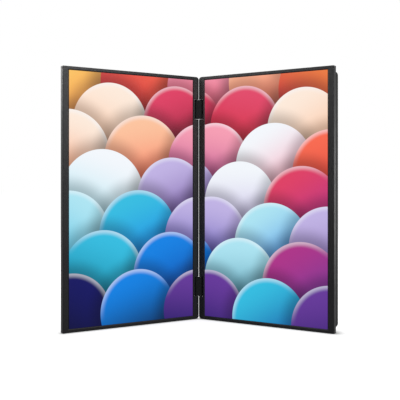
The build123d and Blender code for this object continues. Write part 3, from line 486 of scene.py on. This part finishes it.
# Gilt contacts on the sockets' tongues: (line, pitch, contacts on one face, contacts on the other)
CONTACT_WIDTH, CONTACT_RAISE, TONGUE_HALF, TONGUE_TOP = 0.26 * MM, 0.04 * MM, 0.35 * MM, 1.2 * MM
END_CONTACT_LENGTH, CONTACT_LENGTH, CONTACT_BELOW_TIP = 3.6 * MM, 3.1 * MM, 0.35 * MM
CONTACTS = {
    "charge": (SOCKET_LINE, 0.5 * MM, 12, 12),
    "data": (SOCKET_LINE, 0.5 * MM, 12, 12),
    "video": (VIDEO_LINE, 0.4 * MM, 10, 9),
}
for key, (line, pitch, *counts) in CONTACTS.items():
    form = bmesh.new()
    place = panel_frame(RIGHT, SOCKET_ACROSS[key], line, SOCKET_TOP - TONGUE_TOP)
    for face, count in zip((-1, 1), counts):
        for number in range(count):
            middle = (number - (count - 1) / 2) * pitch
            length = END_CONTACT_LENGTH if number in (0, count - 1) else CONTACT_LENGTH
            near, far = face * TONGUE_HALF, face * (TONGUE_HALF + CONTACT_RAISE)
            a, b = CONTACT_WIDTH / 2, CONTACT_WIDTH / 3
            outline = [(middle - a, near), (middle - b, far), (middle + b, far), (middle + a, near)]
            prism(form, outline, -CONTACT_BELOW_TIP - length, -CONTACT_BELOW_TIP, place)
    piece(f"{key}_contacts", form, "main_panel", gold)


# ---------------------------------------------------------------- stage, light and camera
FLOOR_HALF, FLOOR_DROP, FLOOR_GLOW, FLOOR_ROUGHNESS = 14.0, 0.2 * MM, 0.82, 0.9
FLOOR_DARK, FLOOR_LIGHT, FLOOR_NOISE = (0.24, 0.24, 0.24, 1), (0.26, 0.26, 0.26, 1), (1.5, 2.0)
# Shade where the object stands, and wider shade beside its outer corners: (side, strength)
CONTACT_REACH, CONTACT_SAMPLES = 12 * MM, 12
BESIDE_REACH, BESIDE_SAMPLES, BESIDE_POWER, BESIDE_SPAN = 26 * MM, 16, 1.8, (174 * MM, 180 * MM)
LOOK_INWARD, LOOK_UP = 0.8, 0.6
BESIDE = ((RIGHT, 1.0), (LEFT, 0.7))


def stage_material():
    """Pale seamless floor with a trace of unevenness and a soft contact shade."""
    material, graph, shader, place = finish_of("pale_floor", Specular_IOR_Level=0.0)
    cloud = graph.noise(place, *FLOOR_NOISE)
    graph.put(shader.inputs["Base Color"], graph.blend(cloud, FLOOR_DARK, FLOOR_LIGHT))
    shader.inputs["Roughness"].default_value = FLOOR_ROUGHNESS
    shader.inputs["Emission Color"].default_value = FULL_WHITE
    open_share = graph.occlusion(CONTACT_SAMPLES, CONTACT_REACH)
    across = graph.dot(place, (1.0, 0.0, 0.0))
    for side, strength in BESIDE:
        outside = graph.ease(graph.math("MULTIPLY", across, side), *BESIDE_SPAN, 0.0, strength)
        inward = (-side * LOOK_INWARD, 0.0, LOOK_UP)
        seen_share = graph.occlusion(BESIDE_SAMPLES, BESIDE_REACH, Normal=inward)
        shade = graph.math("SUBTRACT", 1.0, graph.math("POWER", seen_share, BESIDE_POWER))
        kept = graph.math("SUBTRACT", 1.0, graph.math("MULTIPLY", outside, shade))
        open_share = graph.math("MULTIPLY", open_share, kept)
    graph.put(shader.inputs["Emission Strength"], graph.math("MULTIPLY", open_share, FLOOR_GLOW))
    return material


square = ((-1, -1), (1, -1), (1, 1), (-1, 1))
corners = [(x * FLOOR_HALF, y * FLOOR_HALF, -FLOOR_DROP) for x, y in square]
floor_mesh = bpy.data.meshes.new("floor")
floor_mesh.from_pydata(corners, [], [(0, 1, 2, 3)])
floor_mesh.materials.append(stage_material())
floor = bpy.data.objects.new("floor", floor_mesh)
bpy.context.scene.collection.objects.link(floor)
floor.visible_glossy = False

# Surroundings: white to the camera, and for the light brighter behind the object and above it
BEHIND_SPAN, BEHIND_LIGHT = (-0.75, 0.35), (0.06, 0.50)
ABOVE_SPAN, ABOVE_LIGHT = (0.10, 0.90), (0.0, 0.60)
world = bpy.data.worlds.new("studio")
bpy.context.scene.world = world
world.use_nodes = True
sky = Graph(world.node_tree)
surround = world.node_tree.nodes["Background"]
surround.inputs["Color"].default_value = FULL_WHITE
heading = sky.add("ShaderNodeTexCoord").outputs["Generated"]
behind = sky.ease(sky.dot(heading, (0.0, 1.0, 0.0)), *BEHIND_SPAN, *BEHIND_LIGHT)
above = sky.ease(sky.dot(heading, UPWARD), *ABOVE_SPAN, *ABOVE_LIGHT)
sky.put(surround.inputs["Strength"], sky.math("ADD", behind, above))
open_white = sky.add("ShaderNodeBackground", Color=FULL_WHITE, Strength=1.0).outputs[0]
seen = sky.add("ShaderNodeLightPath").outputs["Is Camera Ray"]
mixed = sky.add("ShaderNodeMixShader", i0=seen, i1=surround.outputs[0], i2=open_white)
sky.put(world.node_tree.nodes["World Output"].inputs["Surface"], mixed.outputs[0])

# Square soft lights: name, place, point aimed at, size and power
LIGHTS = (
    ("right_box", (0.72, -0.98, 0.75), (0.0, 0.0, 0.30), 0.6, 13.5),
    ("left_box", (-1.1, -0.50, 0.75), (0.0, 0.0, 0.30), 0.6, 6.0),
    ("top_box", (0.0, 0.3, 1.6), (0.0, 0.0, 0.1), 1.2, 8.0),
    ("back_box", (0.30, 1.30, 1.15), (0.0, 0.05, 0.25), 0.9, 12.0),
    ("left_rim", (-0.95, 0.62, 0.62), (-0.15, 0.0, 0.30), 0.4, 3.7),
    ("right_rim", (0.95, 0.70, 0.18), (0.15, 0.0, 0.18), 0.4, 1.7),
)
for name, place, target, size, power in LIGHTS:
    light = bpy.data.lights.new(name, "AREA")
    light.shape, light.size, light.energy = "SQUARE", size, power
    lamp = bpy.data.objects.new(name, light)
    bpy.context.scene.collection.objects.link(lamp)
    lamp.location = place
    lamp.rotation_euler = (Vector(target) - Vector(place)).to_track_quat("-Z", "Y").to_euler()

# The camera of the photograph, level and in front of the hinge
CAMERA_BACK, CAMERA_UP = 1.128, 0.1987
SENSOR_WIDTH, LENS, SHIFT_X, SHIFT_Y = 36.0, 69.19, 0.0030, -0.0425
hinge_middle = (AXIS[RIGHT] + AXIS[LEFT]) / 2
camera = bpy.data.objects.new("camera", bpy.data.cameras.new("camera"))
bpy.context.scene.collection.objects.link(camera)
camera.location = (hinge_middle.x, hinge_middle.y - CAMERA_BACK, CAMERA_UP)
camera.rotation_euler = (pi / 2, 0, 0)
camera.data.sensor_width, camera.data.lens = SENSOR_WIDTH, LENS
camera.data.shift_x, camera.data.shift_y = SHIFT_X, SHIFT_Y
bpy.context.scene.camera = camera
bpy.context.scene.view_settings.view_transform = "Standard"
